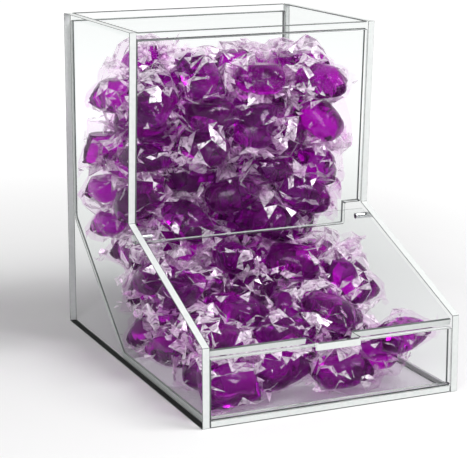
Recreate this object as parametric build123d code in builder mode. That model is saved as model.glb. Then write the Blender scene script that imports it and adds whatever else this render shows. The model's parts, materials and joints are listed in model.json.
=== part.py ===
from build123d import *
import os
from math import atan2, cos, hypot, inf, sin, tan

import numpy as np
from scipy.spatial import transform

# Laundry pod dispenser: a gravity-fed bin of clear acrylic sheet, filled with pods.
# Millimetres, +Z up, the front faces -Y, the origin is the middle of the base.

# Bin
bin_width = 180.0
bin_depth = 256.0
bin_height = 230.0
sheet = 5.0  # thickness of every panel
bend_radius = 4.0  # inside radius of the heat bends
roof_depth = 136.0  # level top edge of the sides, from the back
knee_setback = 127.0  # where the upright front meets the slanted front
knee_height = 101.5
cheek_height = 51.5  # upright front edge of the sides
ramp_foot_setback = 154.0  # corners of the bent sheet's underside
ramp_head_height = 78.0

# Front panel
tongue_drop = 15.5  # length that hangs below the knee, behind the flap
tongue_notch = 12.0  # cut from its right corner
tongue_corner = 1.5

# Flap, its finger tab and its pins
flap_recess = 2.0  # below the slanted edges of the sides
flap_side_gap = 0.5
flap_rear_gap = 4.3
flap_rest_gap = 0.1
tab_width = 32.0
tab_offset = -3.5  # its middle, from the bin's middle
tab_reach = 13.0
tab_corner = 2.0
pin_diameter = 4.0
pin_inset = 6.0  # pin centre to the flap's rear edge
pin_grip = 8.0  # length of a pin inside the flap
pin_running_gap = 0.05

# Lid
lid_side_gap = 0.5
lid_rest_gap = 0.1

# Pods
pod_length = 42.0
pod_width = 34.0
pod_thickness = 22.0
pod_corner = 9.0
pod_slope = 37.0  # taper of the pillow's faces, in degrees
pod_tilt = 28.0  # most that a pod leans, in degrees
pod_gap = 0.3
fill_headroom = 11.0  # between the heap and the lid
tray_headroom = 1.5  # between the heap and what the flap sweeps
heap_seed = 19
falls_per_pod = 16
nudges_per_pod = 32  # small moves by which a pod settles
nudge_turn = 14.0
nudge_shift = 6.0
tries_in_vain = 12  # pods in a row that find no room before the bin counts as full
parallel = 1e-6  # length of a cross product under which directions count as parallel
level = 1e-9  # least rise of an axis, so that level ones block either nothing or every height

# Derived sizes and places
front_y = -bin_depth / 2
back_y = bin_depth / 2
inner_x = bin_width / 2 - sheet
roof_y = back_y - roof_depth
knee_y = front_y + knee_setback
ramp_foot_y = front_y + ramp_foot_setback
lid_underside = bin_height - sheet
slant = atan2(knee_height - cheek_height, knee_setback)
lean = atan2(knee_y - roof_y, bin_height - knee_height)
ramp = atan2(ramp_head_height, back_y - ramp_foot_y)
lip_top = cheek_height - (flap_recess + sheet) / cos(slant) - flap_rest_gap

# The top of the flap: local y runs up the slope from its front edge
slant_plane = Plane(
    origin=(0, front_y, cheek_height), x_dir=(1, 0, 0), z_dir=(0, -sin(slant), cos(slant))
)
flap_plane = slant_plane.offset(-flap_recess)
flap_half = inner_x - flap_side_gap
flap_length = knee_setback / cos(slant) - flap_rear_gap
flap_reach = flap_length - pin_inset  # from the front edge to the pins
flap_swing = hypot(pin_inset, sheet / 2)  # radius swept by the flap's rear edge
hinge = flap_plane.from_local_coords((0, flap_reach, -sheet / 2))
tab_heel = flap_plane.from_local_coords((0, 2 * sheet, 0))
tab_root = flap_plane.origin

# The upright front: local y runs up the panel from the knee
lean_plane = Plane(
    origin=(0, knee_y, knee_height), x_dir=(1, 0, 0), z_dir=(0, -cos(lean), -sin(lean))
)
panel_rise = (lid_underside - lid_rest_gap - knee_height - sheet * sin(lean)) / cos(lean)

os.makedirs("parts", exist_ok=True)


def write(part, name):
    part.label = name
    export_step(part, f"parts/{name}.step")


def side_panel(face):
    """A side sheet, extruded along +X from its left face, with the hole for a pin."""
    with BuildPart() as panel:
        with BuildSketch(face):
            with BuildLine():
                Polyline(
                    (front_y, 0),
                    (back_y, 0),
                    (back_y, bin_height),
                    (roof_y, bin_height),
                    (knee_y, knee_height),
                    (front_y, cheek_height),
                    close=True,
                )
            make_face()
            with Locations((hinge.Y, hinge.Z)):
                Circle(pin_diameter / 2 + pin_running_gap, mode=Mode.SUBTRACT)
        extrude(amount=sheet)
    return panel.part


def hinge_pin(face):
    """A pin along +X from its left end, through a side and into the flap's edge."""
    with BuildPart() as pin:
        with BuildSketch(face):
            with Locations((hinge.Y, hinge.Z)):
                Circle(pin_diameter / 2)
        extrude(amount=sheet + flap_side_gap + pin_grip)
    return pin.part


# Sides and hinge pins
write(side_panel(Plane.YZ.offset(-bin_width / 2)), "left_side")
write(side_panel(Plane.YZ.offset(inner_x)), "right_side")
write(hinge_pin(Plane.YZ.offset(-bin_width / 2)), "left_pin")
write(hinge_pin(Plane.YZ.offset(flap_half - pin_grip)), "right_pin")

# Back, ramp and floor, bent from one sheet
with BuildPart() as back_ramp_floor:
    with BuildSketch(Plane.YZ.offset(-inner_x)):
        with BuildLine():
            underside = FilletPolyline(
                (front_y, 0),
                (ramp_foot_y, 0),
                (back_y, ramp_head_height),
                (back_y, lid_underside - lid_rest_gap),
                radius=bend_radius + sheet,
            )
            offset(underside, amount=sheet, side=Side.LEFT)
        make_face()
    extrude(amount=2 * inner_x)
write(back_ramp_floor.part, "back_ramp_floor")

# Upper front panel, with the tongue that hangs behind the flap
with BuildPart() as front_panel:
    with BuildSketch(lean_plane) as panel_outline:
        with BuildLine():
            Polyline(
                (-inner_x, panel_rise),
                (-inner_x, -tongue_drop),
                (inner_x - tongue_notch, -tongue_drop),
                (inner_x - tongue_notch, 0),
                (inner_x, 0),
                (inner_x, panel_rise),
                close=True,
            )
        make_face()
        fillet(panel_outline.vertices().group_by(Axis.Y)[0].sort_by(Axis.X)[-1], tongue_corner)
    extrude(amount=-sheet)
write(front_panel.part, "front_panel")

# Front lip, standing on the floor
with BuildPart() as front_lip:
    with BuildSketch(Plane.XY.offset(sheet)):
        with Locations((0, front_y + sheet / 2)):
            Rectangle(2 * inner_x, sheet)
    extrude(amount=lip_top - sheet)
write(front_lip.part, "front_lip")

# Lid, laid between the sides on the front panel and the back
with BuildPart() as top_lid:
    with BuildSketch(Plane.XY.offset(lid_underside)):
        with Locations((0, back_y - roof_depth / 2)):
            Rectangle(2 * (inner_x - lid_side_gap), roof_depth)
    extrude(amount=sheet)
write(top_lid.part, "top_lid")

# Flap, with its finger tab bent level and a blind hole for the pin in each edge
with BuildPart() as front_flap:
    with BuildSketch(flap_plane):
        with Locations((0, flap_length / 2)):
            Rectangle(2 * flap_half, flap_length)
    extrude(amount=-sheet)
    with BuildSketch(Plane.YZ.offset(tab_offset - tab_width / 2)):
        with BuildLine():
            tab_top = FilletPolyline(
                (tab_heel.Y, tab_heel.Z),
                (tab_root.Y, tab_root.Z),
                (tab_root.Y - tab_reach, tab_root.Z),
                radius=bend_radius,
            )
            offset(tab_top, amount=sheet, side=Side.LEFT)
        make_face()
    extrude(amount=tab_width)
    fillet(front_flap.edges().filter_by(Axis.Z).group_by(Axis.Y)[0], tab_corner)
    with BuildSketch(Plane.YZ.offset(-flap_half), Plane.YZ.offset(flap_half - pin_grip)):
        with Locations((hinge.Y, hinge.Z)):
            Circle(pin_diameter / 2)
    extrude(amount=pin_grip, mode=Mode.SUBTRACT)
write(front_flap.part, "front_flap")

# One pod: a pillow that tapers both ways from its sealed edge
with BuildPart() as pod:
    with BuildSketch() as pod_outline:
        Rectangle(pod_length, pod_width)
        chamfer(pod_outline.vertices(), pod_corner)
    extrude(amount=pod_thickness / 2, taper=pod_slope)
    mirror(about=Plane.XY)


def distinct(vectors):
    """One of each set of parallel directions."""
    kept = []
    for vector in vectors:
        if all(vector.cross(other).length > parallel for other in kept):
            kept.append(vector)
    return np.array([tuple(vector) for vector in kept])


def blocked_spans(falling, standing):
    """Heights at which a convex shape would meet each of the others, by the separating axis test."""
    corners, normals, edges = falling
    others, other_normals, other_edges = standing
    crossed = np.cross(edges[None, :, None], other_edges[:, None])
    crossed = crossed.reshape(len(others), len(edges) * len(edges), 3)
    own = np.broadcast_to(normals, other_normals.shape)
    axes = np.concatenate([own, other_normals, crossed], axis=1)
    length = np.linalg.norm(axes, axis=2, keepdims=True)
    slight = length < parallel
    axes = np.where(slight, other_normals[:, :1], axes / np.where(slight, 1, length))
    axes = np.where(axes[:, :, 2:] < 0, -axes, axes)
    reach = axes @ corners.T
    wall = axes @ others.transpose(0, 2, 1)
    low = wall.min(axis=2) - reach.max(axis=2) - pod_gap
    high = wall.max(axis=2) - reach.min(axis=2) + pod_gap
    rise = np.maximum(axes[:, :, 2], level)
    return (low / rise).max(axis=1), (high / rise).min(axis=1)


def resting_height(shape, heap):
    """The lowest height at which a shape is clear of the floor, the ramp and the heap."""
    corners = shape[0]
    ramp_top = (corners[:, 1] - ramp_foot_y) * tan(ramp) + (sheet + pod_gap) / cos(ramp)
    height = (np.maximum(ramp_top, sheet + pod_gap) - corners[:, 2]).max()
    beside = np.zeros(len(heap[0]), bool)
    for axis in (0, 1):
        beside |= heap[0][:, :, axis].min(axis=1) > corners[:, axis].max() + pod_gap
        beside |= heap[0][:, :, axis].max(axis=1) < corners[:, axis].min() - pod_gap
    for start, end in sorted(zip(*blocked_spans(shape, [points[~beside] for points in heap]))):
        if start < height < end:
            height = end
    return height


def along(points, plane, direction):
    """How far points lie along a direction from a plane's origin."""
    return (points - np.array(tuple(plane.origin))) @ np.array(tuple(direction))


def has_headroom(corners):
    """Whether corners keep clear of the lid in the hopper, and of the flap and its swing before it."""
    before_panel = along(corners, lean_plane, lean_plane.z_dir) > 0
    towards_pins = along(corners, flap_plane, flap_plane.y_dir) / flap_reach
    depth = sheet + (flap_swing - sheet / 2) * towards_pins + tray_headroom
    under_flap = along(corners, flap_plane, flap_plane.z_dir) < -depth
    under_lid = corners[:, 2] < lid_underside - fill_headroom
    return np.where(before_panel, under_flap, under_lid).all()


def landing(pod_shape, turn, spot, heap):
    """How a pod comes down: its height, its turn, its spot between the walls and its shape there."""
    spin = transform.Rotation.from_euler("XYZ", turn, degrees=True)
    corners, normals, edges = [spin.apply(points) for points in pod_shape]
    low_wall = np.array([-inner_x, front_y + sheet]) + pod_gap
    high_wall = np.array([inner_x, back_y - sheet]) - pod_gap
    spot = np.clip(spot, low_wall - corners.min(axis=0)[:2], high_wall - corners.max(axis=0)[:2])
    corners = corners + np.append(spot, 0)
    height = resting_height((corners, normals, edges), heap)
    corners = corners + np.array([0, 0, height])
    if not has_headroom(corners):
        height = inf
    return height, turn, spot, (corners, normals, edges)


def heap_places(pod_shape, panel_shape):
    """Where the pods lie: each falls at the best of several chance places, then settles lower."""
    chance = np.random.default_rng(heap_seed)
    widest = np.array([pod_tilt, pod_tilt, 180])
    walls = np.array([[-inner_x, inner_x], [front_y, back_y]])
    heap, places, in_vain = [points[None] for points in panel_shape], [], 0
    while in_vain < tries_in_vain:
        falls = [
            landing(pod_shape, chance.uniform(-widest, widest), chance.uniform(*walls.T), heap)
            for _ in range(falls_per_pod)
        ]
        best = min(falls, key=lambda fall: fall[0])
        for _ in range(nudges_per_pod):
            turn = best[1] + chance.uniform(-nudge_turn, nudge_turn, 3)
            spot = best[2] + chance.uniform(-nudge_shift, nudge_shift, 2)
            best = min(best, landing(pod_shape, turn, spot, heap), key=lambda fall: fall[0])
        height, turn, spot, shape = best
        if height == inf:
            in_vain += 1
        else:
            in_vain = 0
            heap = [np.append(points, [more], axis=0) for points, more in zip(heap, shape)]
            places.append(Location((spot[0], spot[1], height), tuple(turn)))
    return places


# Pods, heaped in the hopper and the tray
pod_shape = [
    np.array([tuple(vertex) for vertex in pod.vertices()]),
    distinct([face.normal_at() for face in pod.faces()]),
    distinct([edge.tangent_at(0) for edge in pod.edges()]),
]
panel_axes = distinct([lean_plane.x_dir, lean_plane.y_dir, lean_plane.z_dir])
panel_corners = np.array([tuple(vertex) for vertex in front_panel.vertices()])
panel_shape = [panel_corners, panel_axes, panel_axes]
panel_shape = [np.resize(points, like.shape) for points, like in zip(panel_shape, pod_shape)]
places = heap_places(pod_shape, panel_shape)
pods = Compound([pod.part.solid().moved(place) for place in places])
write(pods, "pods")
print(len(places), "pods; hinge at", hinge)
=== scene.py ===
import json
from math import cos, pi, radians, sin

import bmesh
import bpy
import numpy as np
from mathutils import Matrix, Vector


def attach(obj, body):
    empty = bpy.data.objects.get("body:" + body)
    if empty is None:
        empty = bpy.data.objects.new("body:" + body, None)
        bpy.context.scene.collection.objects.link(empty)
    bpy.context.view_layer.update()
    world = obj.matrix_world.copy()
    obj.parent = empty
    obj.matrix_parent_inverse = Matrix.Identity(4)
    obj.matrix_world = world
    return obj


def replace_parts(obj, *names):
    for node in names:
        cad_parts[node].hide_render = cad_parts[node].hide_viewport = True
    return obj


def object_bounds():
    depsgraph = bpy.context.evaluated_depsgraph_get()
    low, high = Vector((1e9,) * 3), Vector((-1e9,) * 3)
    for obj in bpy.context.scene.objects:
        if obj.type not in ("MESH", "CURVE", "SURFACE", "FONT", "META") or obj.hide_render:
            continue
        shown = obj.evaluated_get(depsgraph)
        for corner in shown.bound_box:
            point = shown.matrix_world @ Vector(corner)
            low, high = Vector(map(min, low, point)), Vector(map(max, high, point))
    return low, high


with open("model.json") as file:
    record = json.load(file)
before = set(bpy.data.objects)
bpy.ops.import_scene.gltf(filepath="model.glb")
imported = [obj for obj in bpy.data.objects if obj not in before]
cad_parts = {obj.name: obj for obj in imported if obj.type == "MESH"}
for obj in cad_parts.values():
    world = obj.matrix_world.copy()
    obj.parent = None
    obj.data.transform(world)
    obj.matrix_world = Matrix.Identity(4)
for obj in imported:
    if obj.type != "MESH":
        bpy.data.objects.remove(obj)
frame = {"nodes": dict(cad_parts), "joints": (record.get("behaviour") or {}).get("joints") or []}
cad_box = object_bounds()

# Laundry pod dispenser: clear acrylic sheets, steel pins and film pouches of purple liquid.
# Metres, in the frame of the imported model.

# Camera, from the photograph's vanishing lines
photo_width = 467
focal_pixels = 1659.0
axis_row = 180.0  # row of the photograph that the optical axis meets
middle_row = 229.0
camera_place = Vector((-0.4595, -1.0135, 0.3533))
camera_yaw = radians(23.78)
camera_pitch = radians(11.65)
sensor_width = 36.0

# Sheets
weld = 1e-6
flat_turn = radians(1)  # faces within this turn are one plane
sharp_turn = radians(30)
arris = 0.0008  # width of the eased corner along a cut edge
side_arris = 0.0003  # the same on the two sides
flap_corner = 0.003  # shorter corners of the flap, in its tab's curves, stay sharp
upward = 0.8  # rise of a normal from which the flap's upper corners are known
level = 0.99  # the same for the tray's floor
downward = 0.1  # rise of a normal below which the lid's lower corners are known
glued = 0.9  # sideways share of a normal that lies against a side
front_most = -0.5  # the flap's front edge faces further forward than this
bore_share = 0.1  # a hole's wall faces all ways, so its normals nearly cancel out
least_wall = 0.002  # area of a face that counts as a wall
# material numbers: clear face, milky cut edge, painted dark line on an eased corner, and the tray's floor
# with its painted shade tint
FACE, EDGE, ARRIS, SHADED_TRAY = range(4)

# Pouches
film_length = 0.060  # flat film, before it is filled
film_width = 0.051
seal_width = 0.006
film_step = 0.0012
pillow_length = 0.045  # filled pouch, inside its seal
pillow_width = 0.0365
pillow_thickness = 0.0245
size_spread = 0.06
pouch_kinds = 4
liquid_cells = 2  # cells of the film to one of the liquid
inflate_frames = 24
inflate_scale = 25.0
inflate_pressure = 6.0
liquid_inset = 0.0007
liquid_round = 3.0  # 2 is an ellipse, and more is squarer
film_gap = 0.0004  # between the film and a wall
flap_gap = 0.001  # between the film and the flap's swing
facet_kinds = ((0.016, 0.55), (0.009, 0.35))  # size, and depth as a share of it
facet_ratio = 0.06  # of the fine film's triangles, after it is folded into flat facets
fold_turn = radians(32)  # folds sharper than this, beside a pale facet, get a painted highlight line along them
pale_share = 0.75  # of the facets, where the film is loose, that get a painted pale highlight
film_turn = radians(14)  # gentler turns than this are curves of the film
# film materials: clear, painted pale highlight, and painted highlight line along a fold
CLEAR, PALE_HIGHLIGHT, CREASE_HIGHLIGHT = range(3)
patch_size = 0.03  # of the places where the film hangs loose
patch_gain = 4.0
patch_bias = 0.25
facet_bias = 0.3  # share of a facet's size by which the film stands off the liquid
level_bias = 0.3  # painted pale highlights go mostly on the level facets, as if lit from above
seal_depth = 0.6
tight_share = 0.04  # of the crumpling, where the film lies on the liquid
pressed_share = 0.12  # of the painted pale highlights, where the film lies flat on a wall
# width of the painted highlight line along a fold
crease_width = 0.00035
corner_lift = 0.012
loose_blur = 0.006
loose_range = (0.6, 1.0)  # height in a pouch from which its film is loose
fill_range = (0.72, 1.0)
corner_power = 3
heap_seed = 5

# Floor, light and world
floor_half = 6.0
floor_tone = (0.85, 0.85, 0.85, 1)
fade_range = (0.25, 1.0)  # distance over which the floor turns plain white
fade_strength = (0.02, 0.72)
behind_range = (-0.3, 0.3)  # directions along Y over which the white backdrop begins
dome_strength = (0.1, 0.5)  # at the horizon and overhead
lamps = (  # name, place from the part's middle, size, power
    ("key", (0.6, -0.6, 1.05), 0.6, 15),
    ("fill", (-0.7, -1.0, 0.5), 0.6, 7),
)


def link(piece):
    bpy.context.scene.collection.objects.link(piece)
    return piece


def add_node(tree, kind, **values):
    """A shader node with its sockets, by name, set to values or joined to other sockets."""
    node = tree.nodes.new(kind)
    for name, value in values.items():
        socket = name.replace("_", " ").title().replace("Ior", "IOR")
        target = node.inputs[socket] if socket in node.inputs else None
        if target is None:
            setattr(node, name, value)
        elif isinstance(value, bpy.types.NodeSocket):
            tree.links.new(value, target)
        else:
            target.default_value = value
    return node


def math_node(tree, operation, *values, **settings):
    """The result of a sum on sockets or plain numbers."""
    node = add_node(tree, "ShaderNodeMath", operation=operation, **settings)
    for value, target in zip(values, node.inputs):
        if isinstance(value, bpy.types.NodeSocket):
            tree.links.new(value, target)
        else:
            target.default_value = value
    return node.outputs[0]


def shader_pair(tree, kind, first, second, **values):
    """Two shaders mixed or added."""
    node = add_node(tree, kind, **values)
    for shader, target in zip((first, second), node.inputs[-2:]):
        tree.links.new(shader.outputs[0], target)
    return node.outputs[0]


def new_material(name):
    """An empty material: its tree and its output node."""
    material = bpy.data.materials.new(name)
    material.use_nodes = True
    material.node_tree.nodes.clear()
    output = material.node_tree.nodes.new("ShaderNodeOutputMaterial")
    return material, material.node_tree, output


def gloss_share(tree, head_on, grazing, **normal):
    """How much a thin clear surface reflects, from head on to grazing, alike from both sides."""
    facing = add_node(tree, "ShaderNodeLayerWeight", blend=0.5, **normal).outputs["Facing"]
    curve = math_node(tree, "POWER", facing, 5.0)
    return add_node(
        tree, "ShaderNodeMapRange", value=curve, to_min=head_on, to_max=grazing
    ).outputs[0]


def clear_sheet_material(name, tint, grazing):
    """Polished acrylic: nearly all seen through, with the gloss that grows towards grazing views."""
    material, tree, output = new_material(name)
    place = add_node(tree, "ShaderNodeTexCoord").outputs["Object"]
    haze = add_node(tree, "ShaderNodeTexNoise", vector=place, scale=9.0, detail=4.0)
    rough = add_node(tree, "ShaderNodeMapRange", value=haze.outputs["Fac"], to_min=0.01, to_max=0.04)
    gloss = add_node(
        tree, "ShaderNodeBsdfPrincipled",
        base_color=(0.94, 0.96, 0.96, 1), metallic=1.0, roughness=rough.outputs[0],
    )
    through = add_node(tree, "ShaderNodeBsdfTransparent", color=tint)
    share = gloss_share(tree, 0.002, grazing)
    mix = shader_pair(tree, "ShaderNodeMixShader", through, gloss, fac=share)
    tree.links.new(mix, output.inputs["Surface"])
    return material


def cut_edge_material():
    """Sawn and flamed acrylic edge: bright and milky, with faint marks of the saw."""
    material, tree, output = new_material("acrylic_edge")
    place = add_node(tree, "ShaderNodeTexCoord").outputs["Object"]
    marks = add_node(tree, "ShaderNodeTexNoise", vector=place, scale=420.0, detail=3.0)
    tone = add_node(tree, "ShaderNodeValToRGB", fac=marks.outputs["Fac"])
    tone.color_ramp.elements[0].color = (0.62, 0.65, 0.64, 1)
    tone.color_ramp.elements[1].color = (0.76, 0.78, 0.77, 1)
    bump = add_node(tree, "ShaderNodeBump", strength=0.15, distance=0.0004, height=marks.outputs["Fac"])
    edge = add_node(
        tree, "ShaderNodeBsdfPrincipled",
        base_color=tone.outputs["Color"], roughness=0.35, ior=1.49, normal=bump.outputs[0],
    )
    tree.links.new(edge.outputs[0], output.inputs["Surface"])
    return material


def painted_line_material():
    """Painted shade: a fine dark line along each eased corner of a sheet, as light bending at the corner
    shows it, darker or lighter at random.
    """
    material, tree, output = new_material("acrylic_arris_painted_shade")
    place = add_node(tree, "ShaderNodeTexCoord").outputs["Object"]
    # random unevenness of the painted dark line
    uneven_line = add_node(tree, "ShaderNodeTexNoise", vector=place, scale=60.0, detail=2.0)
    tone = add_node(tree, "ShaderNodeValToRGB", fac=uneven_line.outputs["Fac"])
    tone.color_ramp.elements[0].color = (0.04, 0.045, 0.045, 1)
    tone.color_ramp.elements[1].color = (0.22, 0.235, 0.235, 1)
    line = add_node(
        tree, "ShaderNodeBsdfPrincipled", base_color=tone.outputs["Color"], roughness=0.25, ior=1.49
    )
    tree.links.new(line.outputs[0], output.inputs["Surface"])
    return material


def steel_material():
    """Turned steel: fine rings round the pin."""
    material, tree, output = new_material("pin_steel")
    place = add_node(tree, "ShaderNodeTexCoord").outputs["Object"]
    rings = add_node(tree, "ShaderNodeTexNoise", vector=place, scale=900.0, detail=2.0)
    rough = add_node(tree, "ShaderNodeMapRange", value=rings.outputs["Fac"], to_min=0.2, to_max=0.4)
    steel = add_node(
        tree, "ShaderNodeBsdfPrincipled",
        base_color=(0.62, 0.63, 0.64, 1), metallic=1.0, roughness=rough.outputs[0],
    )
    tree.links.new(steel.outputs[0], output.inputs["Surface"])
    return material


def film_material(name, head_on, grazing):
    """Clear film with fine crinkles: how much of it is seen as pale gloss, from head on to grazing. A high
    head-on share makes it a painted highlight.
    """
    material, tree, output = new_material(name)
    place = add_node(tree, "ShaderNodeTexCoord").outputs["Object"]
    crinkle = add_node(tree, "ShaderNodeTexNoise", vector=place, scale=330.0, detail=2.0, distortion=1.0)
    bump = add_node(
        tree, "ShaderNodeBump", strength=0.15, distance=0.0006, height=crinkle.outputs["Fac"]
    )
    gloss = add_node(
        tree, "ShaderNodeBsdfPrincipled",
        base_color=(0.98, 0.84, 0.97, 1), metallic=0.2, roughness=0.22, normal=bump.outputs[0],
    )
    through = add_node(tree, "ShaderNodeBsdfTransparent", color=(0.975, 0.92, 0.975, 1))
    # uneven streaks in the gloss share; on the pale and crease films these are streaks of painted
    # highlight
    streak = add_node(tree, "ShaderNodeTexNoise", vector=place, scale=150.0, detail=3.0, distortion=2.0)
    strength = add_node(
        tree, "ShaderNodeMapRange", value=streak.outputs["Fac"],
        from_min=0.35, from_max=0.65, to_min=0.2, to_max=1.5,
    )
    reflected = gloss_share(tree, head_on, grazing, normal=bump.outputs[0])
    share = math_node(tree, "MULTIPLY", reflected, strength.outputs[0], use_clamp=True)
    mix = shader_pair(tree, "ShaderNodeMixShader", through, gloss, fac=share)
    tree.links.new(mix, output.inputs["Surface"])
    return material


def liquid_material():
    """Purple liquid: bright where it is thin and nearly black where pods lie one behind another."""
    material, tree, output = new_material("pod_liquid")
    place = add_node(tree, "ShaderNodeTexCoord").outputs["Object"]
    cloud = add_node(tree, "ShaderNodeTexNoise", vector=place, scale=38.0, detail=2.0)
    tone = add_node(tree, "ShaderNodeValToRGB", fac=cloud.outputs["Fac"])
    tone.color_ramp.elements[0].position = 0.3
    tone.color_ramp.elements[0].color = (0.68, 0.0, 0.71, 1)
    tone.color_ramp.elements[1].position = 0.7
    tone.color_ramp.elements[1].color = (0.95, 0.0, 0.89, 1)
    liquid = add_node(
        tree, "ShaderNodeBsdfPrincipled",
        base_color=tone.outputs["Color"], roughness=0.04, ior=1.36, transmission_weight=0.95,
    )
    depth = add_node(
        tree, "ShaderNodeVolumeAbsorption", color=(0.92, 0.0, 0.93, 1), density=340.0
    )
    tree.links.new(liquid.outputs[0], output.inputs["Surface"])
    tree.links.new(depth.outputs[0], output.inputs["Volume"])
    return material


def smooth_regions(shape):
    """Groups of faces that meet without a sharp corner, the largest first."""
    left, regions = set(shape.faces), []
    while left:
        region, front = set(), [left.pop()]
        while front:
            face = front.pop()
            region.add(face)
            for edge in face.edges:
                for other in edge.link_faces:
                    if other in left and edge.calc_face_angle(pi) < sharp_turn:
                        left.remove(other)
                        front.append(other)
        regions.append(region)
    return sorted(regions, key=lambda region: -sum(face.calc_area() for face in region))


def node_shape(node):
    """A CAD node's shape with whole faces instead of triangles."""
    shape = bmesh.new()
    shape.from_mesh(frame["nodes"][node].data)
    bmesh.ops.remove_doubles(shape, verts=shape.verts, dist=weld)
    bmesh.ops.dissolve_limit(shape, angle_limit=flat_turn, verts=shape.verts, edges=shape.edges)
    return shape


def is_clear(node, normal):
    """Whether a cut edge looks clear: it is glued to a side, or seen only through its own sheet."""
    if node == "front_flap":
        return normal.y > front_most
    return node in ("front_panel", "top_lid") or node == "front_lip" and abs(normal.x) > glued


def is_bore(region):
    """Whether a group of faces looks all ways round, as a hole's wall does."""
    areas = [face.calc_area() for face in region]
    whole = sum((face.normal * area for face, area in zip(region, areas)), Vector())
    return whole.length < bore_share * sum(areas)


def eased_corners(node, shape, regions):
    """The sharp corners that get a fine painted dark line: not a hole's rim, nor the flap's lower or
    finest ones.
    """
    bores = {face for region in regions if is_bore(region) for face in region}
    corners = [
        edge for edge in shape.edges
        if edge.calc_face_angle(0) > sharp_turn and not bores.intersection(edge.link_faces)
    ]
    if node != "front_flap":
        return corners
    return [
        edge for edge in corners
        if edge.calc_length() > flap_corner and max(face.normal.z for face in edge.link_faces) > upward
    ]


def sheet_piece(node, body, materials):
    """A panel: polished faces, milky cut edges and a fine painted dark line between them."""
    shape = node_shape(node)
    regions = smooth_regions(shape)
    for number, region in enumerate(regions):
        for face in region:
            face.material_index = FACE if number < 2 or is_clear(node, face.normal) else EDGE
            # the tray's floor gets the tinted sheet that paints the pods' shade on it
            if node == "back_ramp_floor" and number < 2 and abs(face.normal.z) > level:
                face.material_index = SHADED_TRAY
            face.smooth = True
    bmesh.ops.bevel(
        shape, geom=eased_corners(node, shape, regions),
        offset=side_arris if node in ("left_side", "right_side") else arris,
        offset_type="OFFSET", segments=1, profile=0.5,
        affect="EDGES", clamp_overlap=False, material=ARRIS,
    )
    bmesh.ops.dissolve_degenerate(shape, dist=weld, edges=shape.edges)
    for face in shape.faces:
        if node == "top_lid" and face.material_index == ARRIS and face.normal.z < downward:
            face.material_index = FACE
    for edge in shape.edges:
        edge.smooth = edge.calc_face_angle(0) < sharp_turn
    mesh = bpy.data.meshes.new(node + "_sheet")
    shape.to_mesh(mesh)
    shape.free()
    for material in materials:
        mesh.materials.append(material)
    piece = link(bpy.data.objects.new(node + "_sheet", mesh))
    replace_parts(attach(piece, body), node)
    return piece


def wall_planes(node):
    """Point and outward normal of each broad flat face of a CAD node."""
    shape = node_shape(node)
    planes = [
        (np.array(face.calc_center_median()), np.array(face.normal))
        for face in shape.faces
        if face.calc_area() > least_wall
    ]
    shape.free()
    return planes


def pod_solids():
    """The corners of every CAD pod, one array for each."""
    shape = bmesh.new()
    shape.from_mesh(frame["nodes"]["pods"].data)
    bmesh.ops.remove_doubles(shape, verts=shape.verts, dist=weld)
    left, solids = set(shape.verts), []
    for start in shape.verts:
        if start not in left:
            continue
        left.remove(start)
        solid, front = [], [start]
        while front:
            vertex = front.pop()
            solid.append(tuple(vertex.co))
            for edge in vertex.link_edges:
                other = edge.other_vert(vertex)
                if other in left:
                    left.remove(other)
                    front.append(other)
        solids.append(np.array(solid))
    shape.free()
    return solids


def pod_axes(corners):
    """A pod's centre and its long, wide and thick directions as rows."""
    centre = corners.mean(axis=0)
    spread, directions = np.linalg.eigh(np.cov((corners - centre).T))
    rows = directions.T[::-1].copy()
    rows[2] = np.cross(rows[0], rows[1])
    return centre, rows


def flat_pouch():
    """Flat film, doubled within the seal: corners, faces, their kinds, and the liquid's faces."""
    columns = round(film_length / film_step)
    rows = round(film_width / film_step)
    seal = round(seal_width / film_step)
    across = np.linspace(-film_length / 2, film_length / 2, columns + 1)
    along = np.linspace(-film_width / 2, film_width / 2, rows + 1)
    points, upper, lower = [], {}, {}
    for row, y in enumerate(along):
        for column, x in enumerate(across):
            upper[column, row] = len(points)
            points.append((x, y, 0.0))
    for row in range(seal, rows - seal + 1):
        for column in range(seal, columns - seal + 1):
            on_seal = column in (seal, columns - seal) or row in (seal, rows - seal)
            lower[column, row] = upper[column, row] if on_seal else len(points)
            if not on_seal:
                points.append((across[column], along[row], 0.0))
    faces, kinds = [], []
    for row in range(rows):
        for column in range(columns):
            cell = [(column, row), (column + 1, row), (column + 1, row + 1), (column, row + 1)]
            faces.append([upper[corner] for corner in cell])
            inside = all(corner in lower for corner in cell)
            kinds.append("upper" if inside else "seal")
            if inside:
                faces.append([lower[corner] for corner in reversed(cell)])
                kinds.append("lower")
    liquid = []
    step = liquid_cells
    for row in range(seal, rows - seal, step):
        for column in range(seal, columns - seal, step):
            cell = [(column, row), (column + step, row), (column + step, row + step), (column, row + step)]
            liquid.append([upper[corner] for corner in cell])
            liquid.append([lower[corner] for corner in reversed(cell)])
    return np.array(points), faces, kinds, liquid


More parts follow.
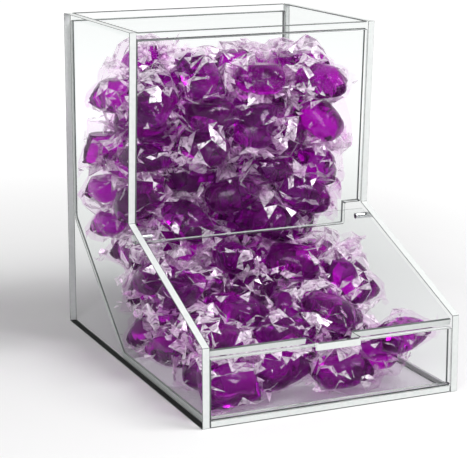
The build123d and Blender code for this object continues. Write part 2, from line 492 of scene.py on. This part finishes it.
def inflate(points, faces, kinds, seed):
    """The filled pouch: Blender's cloth under pressure inside the seal."""
    chance = np.random.default_rng(seed)
    pillow = sorted({corner for face, kind in zip(faces, kinds) if kind != "seal" for corner in face})
    start = points * inflate_scale
    start[:, 2] = chance.normal(0, 0.004, len(points))
    mesh = bpy.data.meshes.new("pouch")
    mesh.from_pydata(start.tolist(), [], faces)
    piece = link(bpy.data.objects.new("pouch", mesh))
    piece.vertex_groups.new(name="liquid").add(pillow, 1.0, "REPLACE")
    cloth = piece.modifiers.new("cloth", "CLOTH")
    cloth.settings.use_pressure = True
    cloth.settings.uniform_pressure_force = inflate_pressure
    cloth.settings.vertex_group_pressure = "liquid"
    cloth.settings.effector_weights.gravity = 0.0
    cloth.settings.mass = 0.2
    cloth.settings.quality = 6
    cloth.settings.bending_stiffness = 0.05
    cloth.settings.air_damping = 3.0
    cloth.collision_settings.use_collision = False
    scene = bpy.context.scene
    for number in range(1, inflate_frames + 1):
        scene.frame_set(number)
    shaped = piece.evaluated_get(bpy.context.evaluated_depsgraph_get())
    filled = np.array([tuple(vertex.co) for vertex in shaped.data.vertices])
    scene.frame_set(1)
    bpy.data.objects.remove(piece)
    bpy.data.meshes.remove(mesh)
    low, high = filled[pillow].min(axis=0), filled[pillow].max(axis=0)
    filled -= (low + high) / 2
    return filled * np.array([pillow_length, pillow_width, pillow_thickness]) / (high - low)


def look_from(place, yaw, pitch):
    """A camera's matrix: it stands at place and looks along yaw from +Y, and down by pitch."""
    ahead = Vector((sin(yaw) * cos(pitch), cos(yaw) * cos(pitch), -sin(pitch)))
    turn = ahead.to_track_quat("-Z", "Y").to_matrix().to_4x4()
    return Matrix.Translation(place) @ turn


def pod_piece(name, solids, materials, sharp_at):
    """One mesh of many pods, each given as its corners, its faces and its faces' material numbers."""
    points, faces, kinds = [], [], []
    for corners, some_faces, some_kinds in solids:
        faces += [[len(points) + corner for corner in face] for face in some_faces]
        kinds += list(some_kinds)
        points += list(corners)
    mesh = bpy.data.meshes.new(name)
    mesh.from_pydata(points, [], faces)
    for material in materials:
        mesh.materials.append(material)
    mesh.polygons.foreach_set("material_index", kinds)
    mesh.polygons.foreach_set("use_smooth", [True] * len(faces))
    mesh.set_sharp_from_angle(angle=sharp_at)
    piece = link(bpy.data.objects.new(name, mesh))
    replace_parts(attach(piece, "bin"), "pods")
    return piece


def vertex_normals(points, faces):
    quads = points[faces]
    across = np.cross(quads[:, 2] - quads[:, 0], quads[:, 3] - quads[:, 1])
    normals = np.zeros_like(points)
    for corner in range(4):
        np.add.at(normals, faces[:, corner], across)
    return normals / np.maximum(np.linalg.norm(normals, axis=1, keepdims=True), 1e-12)


def rounded(points):
    """A pillow with its corners drawn in, as liquid leaves the corners of its film empty."""
    across = np.abs(points[:, :2]) / np.abs(points[:, :2]).max(axis=0)
    square = across.max(axis=1)
    round_off = (across**liquid_round).sum(axis=1) ** (1 / liquid_round)
    points[:, :2] *= (square / np.maximum(round_off, weld))[:, None]
    return points


def facets(points, chance, size):
    """Crumpled film: the heights of flat facets of about a size, which meet in sharp creases."""
    low, high = points.min(axis=0) - size, points.max(axis=0) + size
    count = round(np.prod((high - low) / size))
    height = 0.0
    for _ in range(2):
        seeds = chance.uniform(low, high, (count, 3))
        height = ((seeds**2).sum(axis=1) - 2 * points @ seeds.T).min(axis=1) - height
    return height / size


def folded(points, faces, loose, chance):
    """Fine film folded into flat facets: its corners, its faces, and which are clear, painted pale
    highlights or painted highlight lines along creases.
    """
    mesh = bpy.data.meshes.new("film")
    mesh.from_pydata(points.tolist(), [], faces)
    piece = link(bpy.data.objects.new("film", mesh))
    piece.modifiers.new("fold", "DECIMATE").ratio = facet_ratio
    shape = bmesh.new()
    shape.from_mesh(piece.evaluated_get(bpy.context.evaluated_depsgraph_get()).data)
    bpy.data.objects.remove(piece)
    bpy.data.meshes.remove(mesh)
    for face in shape.faces:
        nearest = ((points - np.array(face.calc_center_median())) ** 2).sum(axis=1).argmin()
        # painted highlight: a random share of the loose facets, mostly the level ones, turns pale as if it
        # caught the light
        lying = np.clip(abs(face.normal.z) + level_bias, 0, 1) ** 2
        face.material_index = PALE_HIGHLIGHT if chance.uniform() < pale_share * lying * loose[nearest] else CLEAR
    folds = [
        edge for edge in shape.edges
        if len(edge.link_faces) == 2 and edge.calc_face_angle() > fold_turn
        and any(face.material_index == PALE_HIGHLIGHT for face in edge.link_faces)
    ]
    # painted highlight: a thin pale strip along each sharp fold beside a pale facet
    bmesh.ops.bevel(
        shape, geom=folds, offset=crease_width / 2, offset_type="OFFSET", segments=1, profile=0.5,
        affect="EDGES", clamp_overlap=True, material=CREASE_HIGHLIGHT,
    )
    shape.verts.index_update()
    corners = [tuple(vertex.co) for vertex in shape.verts]
    flat_faces = [[vertex.index for vertex in face.verts] for face in shape.faces]
    kinds = [face.material_index for face in shape.faces]
    shape.free()
    return corners, flat_faces, kinds


def swing_plane(node, joint):
    """Point and normal of the plane below everything that the flap sweeps."""
    hinge = np.array(joint["pos_m"])
    corners = np.array([tuple(vertex.co) for vertex in frame["nodes"][node].data.vertices])
    behind = corners[corners[:, 1] > hinge[1]] - hinge
    swing = np.linalg.norm(behind[:, 1:], axis=1).max()
    point, down = min(wall_planes(node), key=lambda plane: plane[1][2])
    front = point + (corners[:, 1].min() - point[1]) * np.array([0, 1, -down[1] / down[2]])
    along = hinge + swing * down - front
    normal = np.cross([1, 0, 0], along)
    normal *= -np.sign(normal[2]) / np.linalg.norm(normal)
    return front, normal


def film_sheets(faces, kinds):
    """The pouch's three sheets of film, each with corners of its own."""
    corners, sheet_faces = [], []
    for kind in ("upper", "lower", "seal"):
        ours = faces[[face_kind == kind for face_kind in kinds]]
        used, numbers = np.unique(ours, return_inverse=True)
        sheet_faces += (numbers.reshape(-1, 4) + len(corners)).tolist()
        corners += used.tolist()
    return corners, sheet_faces


def liquid_body(points, up, chance):
    """The liquid in a pouch, level on top where it isn't full, and its corners' heights when full."""
    body = points[liquid_corners]
    body = rounded(body - liquid_inset * vertex_normals(body, liquid_faces))
    heights = body @ up
    fill = heights.min() + chance.uniform(*fill_range) * (heights.max() - heights.min())
    body -= np.outer(np.maximum(heights - fill, 0), up)
    return body, heights


def looseness(points, up, heights, chance):
    """How loose the film is at each corner: most above the liquid, in patches and past the seam."""
    loose_level = heights.min() + chance.uniform(*loose_range) * (heights.max() - heights.min())
    above = np.clip((points @ up - loose_level) / loose_blur, 0, 1)
    patch = np.clip(patch_gain * facets(points, chance, patch_size) / patch_size - patch_bias, 0, 1)
    return tight_share + (1 - tight_share) * np.maximum(np.maximum(above, patch), past_seam)


def crumpled(points, loose, chance):
    """Film pushed out into facets where it is loose, with the seal's corners bent up or down."""
    outward = vertex_normals(points, pouch_faces)
    height = 0.0
    for size, depth in facet_kinds:
        rise = facets(points, chance, size)
        pillow = np.maximum(rise + facet_bias * size, 0) * (1 - past_seam) * depth
        height = height + (pillow + rise * past_seam * seal_depth) * loose
    across = np.abs(points[:, :2]) / np.abs(points[:, :2]).max(axis=0)
    corner = np.prod(across, axis=1) ** corner_power
    quarter = (points[:, 0] > 0).astype(int) + 2 * (points[:, 1] > 0)
    points = points + outward * height[:, None]
    points[:, 2] += chance.uniform(-corner_lift, corner_lift, 4)[quarter] * corner
    return points


def keep_inside(points, body, loose, corners):
    """Press film and liquid back behind each wall that the CAD pod is clear of."""
    for point, normal, gap in planes:
        if ((corners - point) @ normal).min() < 0:
            continue
        loose[(points - point) @ normal < gap] *= pressed_share
        for cloud in (points, body):
            short = np.maximum(gap - (cloud - point) @ normal, 0)
            cloud += short[:, None] * normal


def filled_pouch(corners, chance):
    """The film and the liquid of the pouch that stands for one CAD pod."""
    centre, rows = pod_axes(corners)
    up = rows[:, 2]
    points = pouches[chance.integers(len(pouches))] @ half_turns[chance.integers(4)]
    points = points * chance.uniform(1 - size_spread, 1 + size_spread, 3)
    body, heights = liquid_body(points, up, chance)
    loose = looseness(points, up, heights, chance)
    points = centre + crumpled(points, loose, chance) @ rows
    body = centre + body @ rows
    keep_inside(points, body, loose, corners)
    film_solid = folded(points[film_corners], film_faces, loose[film_corners], chance)
    return film_solid, (body.tolist(), liquid_faces.tolist(), [0] * len(liquid_faces))


def any_ray(tree, *kinds):
    """1 for rays of these kinds, and 0 for the rest."""
    path = add_node(tree, "ShaderNodeLightPath")
    seen = path.outputs[kinds[0]]
    for kind in kinds[1:]:
        seen = math_node(tree, "MAXIMUM", seen, path.outputs[kind])
    return seen


def floor_material():
    """Matt white floor that keeps the shadow, and turns plain white away from the part."""
    material, tree, output = new_material("floor_white")
    place = add_node(tree, "ShaderNodeTexCoord").outputs["Object"]
    away = add_node(tree, "ShaderNodeVectorMath", operation="LENGTH", vector=place)
    fade = add_node(
        tree, "ShaderNodeMapRange", value=away.outputs["Value"],
        from_min=fade_range[0], from_max=fade_range[1], to_min=fade_strength[0], to_max=fade_strength[1],
    )
    seen = any_ray(tree, "Is Camera Ray", "Is Glossy Ray", "Is Transmission Ray")
    lift = math_node(tree, "MULTIPLY", seen, fade.outputs[0])
    glow = add_node(tree, "ShaderNodeEmission", strength=lift)
    matt = add_node(tree, "ShaderNodeBsdfDiffuse", color=floor_tone)
    tree.links.new(shader_pair(tree, "ShaderNodeAddShader", glow, matt), output.inputs["Surface"])
    return material


def studio_world():
    """A soft dome for light, seen as white by the camera, and behind the part in gloss and glass too."""
    world = bpy.data.worlds.new("studio")
    world.use_nodes = True
    tree = world.node_tree
    tree.nodes.clear()
    way = add_node(tree, "ShaderNodeTexCoord").outputs["Generated"]
    split = add_node(tree, "ShaderNodeSeparateXYZ", vector=way)
    behind = add_node(
        tree, "ShaderNodeMapRange", value=split.outputs["Y"],
        from_min=behind_range[0], from_max=behind_range[1],
    )
    mirrored = any_ray(tree, "Is Glossy Ray", "Is Transmission Ray")
    backdrop = math_node(tree, "MULTIPLY", mirrored, behind.outputs[0])
    seen = math_node(tree, "MAXIMUM", any_ray(tree, "Is Camera Ray"), backdrop)
    dome = add_node(
        tree, "ShaderNodeMapRange", value=split.outputs["Z"],
        from_min=0.0, to_min=dome_strength[0], to_max=dome_strength[1],
    )
    strength = add_node(tree, "ShaderNodeMapRange", value=seen, to_min=dome.outputs[0], to_max=1.0)
    sky = add_node(tree, "ShaderNodeBackground", color=(1, 1, 1, 1), strength=strength.outputs[0])
    output = tree.nodes.new("ShaderNodeOutputWorld")
    tree.links.new(sky.outputs[0], output.inputs["Surface"])
    return world


def area_lamp(name, place, target, size, power):
    """A square soft box that faces a target."""
    data = bpy.data.lights.new(name, "AREA")
    data.size = size
    data.energy = power
    lamp = link(bpy.data.objects.new(name, data))
    lamp.location = place
    lamp.rotation_euler = (Vector(target) - Vector(place)).to_track_quat("-Z", "Y").to_euler()


# Sheets
sheet_materials = (
    clear_sheet_material("acrylic_face", (0.968, 0.974, 0.972, 1), 0.05),
    cut_edge_material(),
    painted_line_material(),
    # painted shade: the tray's floor sheet is tinted dark grey-lilac for the shade of the pods over it
    clear_sheet_material("acrylic_tray_painted_shade", (0.86, 0.83, 0.87, 1), 0.8),
)
sheet_bodies = {
    "left_side": "bin",
    "right_side": "bin",
    "back_ramp_floor": "bin",
    "front_panel": "bin",
    "front_lip": "bin",
    "top_lid": "bin",
    "front_flap": "flap",
}
for node, body in sheet_bodies.items():
    sheet_piece(node, body, sheet_materials)

# Pins
steel = steel_material()
for node in ("left_pin", "right_pin"):
    frame["nodes"][node].data.materials.clear()
    frame["nodes"][node].data.materials.append(steel)

# Pods
film = film_material("pod_film", 0.003, 0.12)
# painted highlights: the pale facets and the lines along their folds, pale gloss that is mostly opaque
# even head on
pale_highlight_film = film_material("pod_film_painted_highlight", 0.68, 0.85)
crease_highlight_film = film_material("pod_film_crease_highlight", 0.75, 0.9)
liquid = liquid_material()
planes = [(*swing_plane("front_flap", frame["joints"][0]), flap_gap)]
for node, body in sheet_bodies.items():
    if body == "bin":
        planes += [(point, normal, film_gap) for point, normal in wall_planes(node)]

flat, pouch_faces, face_kinds, liquid_faces = flat_pouch()
pouches = [inflate(flat, pouch_faces, face_kinds, seed) for seed in range(pouch_kinds)]
pouch_faces = np.array(pouch_faces)
film_corners, film_faces = film_sheets(pouch_faces, face_kinds)
liquid_corners, liquid_faces = np.unique(liquid_faces, return_inverse=True)
liquid_faces = liquid_faces.reshape(-1, 4)
past_seam = np.abs(flat[:, :2]) - np.array([film_length / 2, film_width / 2]) + seal_width
past_seam = np.clip(past_seam.max(axis=1) / seal_width, 0, 1)
half_turns = [np.diag(signs) for signs in ((1, 1, 1), (1, -1, -1), (-1, 1, -1), (-1, -1, 1))]

chance = np.random.default_rng(heap_seed)
films, liquids = zip(*[filled_pouch(corners, chance) for corners in pod_solids()])
pod_piece("pod_films", films, (film, pale_highlight_film, crease_highlight_film), film_turn)
pod_piece("pod_liquid", liquids, (liquid,), pi)

# Floor, light and camera
scene = bpy.context.scene
scene.view_settings.view_transform = "Standard"
scene.cycles.transparent_max_bounces = 48
scene.cycles.max_bounces = 24
scene.cycles.transmission_bounces = 16

floor_mesh = bpy.data.meshes.new("floor")
floor_corners = [(-1, -1, 0), (1, -1, 0), (1, 1, 0), (-1, 1, 0)]
floor_mesh.from_pydata([Vector(corner) * floor_half for corner in floor_corners], [], [(0, 1, 2, 3)])
floor = link(bpy.data.objects.new("floor", floor_mesh))
floor_mesh.materials.append(floor_material())

scene.world = studio_world()
middle = (Vector(cad_box[0]) + Vector(cad_box[1])) / 2
for name, place, size, power in lamps:
    area_lamp(name, middle + Vector(place), middle, size, power)

data = bpy.data.cameras.new("camera")
data.sensor_width = sensor_width
data.lens = focal_pixels * sensor_width / photo_width
data.shift_y = (axis_row - middle_row) / photo_width
camera = link(bpy.data.objects.new("camera", data))
camera.matrix_world = look_from(camera_place, camera_yaw, camera_pitch)
scene.camera = camera
